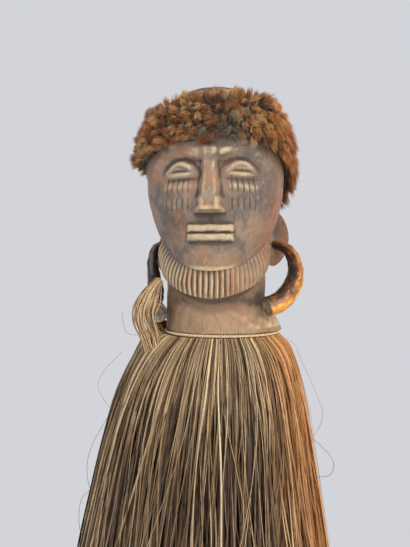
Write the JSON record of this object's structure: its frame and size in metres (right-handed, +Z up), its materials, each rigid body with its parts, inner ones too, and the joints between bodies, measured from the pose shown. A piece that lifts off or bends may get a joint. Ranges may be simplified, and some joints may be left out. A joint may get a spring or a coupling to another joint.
{
  "type": "carved ancestor figure",
  "caption": "Carved wooden head on a plain post with a fur headband, horn earrings, a ribbed beard and a full raffia skirt, standing on a low round base.",
  "frame": {"origin": "middle of the stand's underside, where it rests on the floor", "axes": "+Z up along the post, the face looks along -Y, +X is the figure's left"},
  "size_m": [0.3047, 0.2935, 0.839],
  "materials": {
    "carved_wood": "dark, dry and worn, with pale edges",
    "stand_wood": "dark waxed",
    "fur": "reddish brown fur on the hide",
    "horn": "amber horn, semi-gloss",
    "raffia": "dry split palm fibre"
  },
  "bodies": {
    "root": {"carved_figure": "carved_wood", "stand": "stand_wood", "fur_headband": "fur", "horn_earring_left": "horn", "horn_earring_right": "horn", "neck_cord": "raffia", "raffia_skirt": "raffia"}
  },
  "joints": []
}
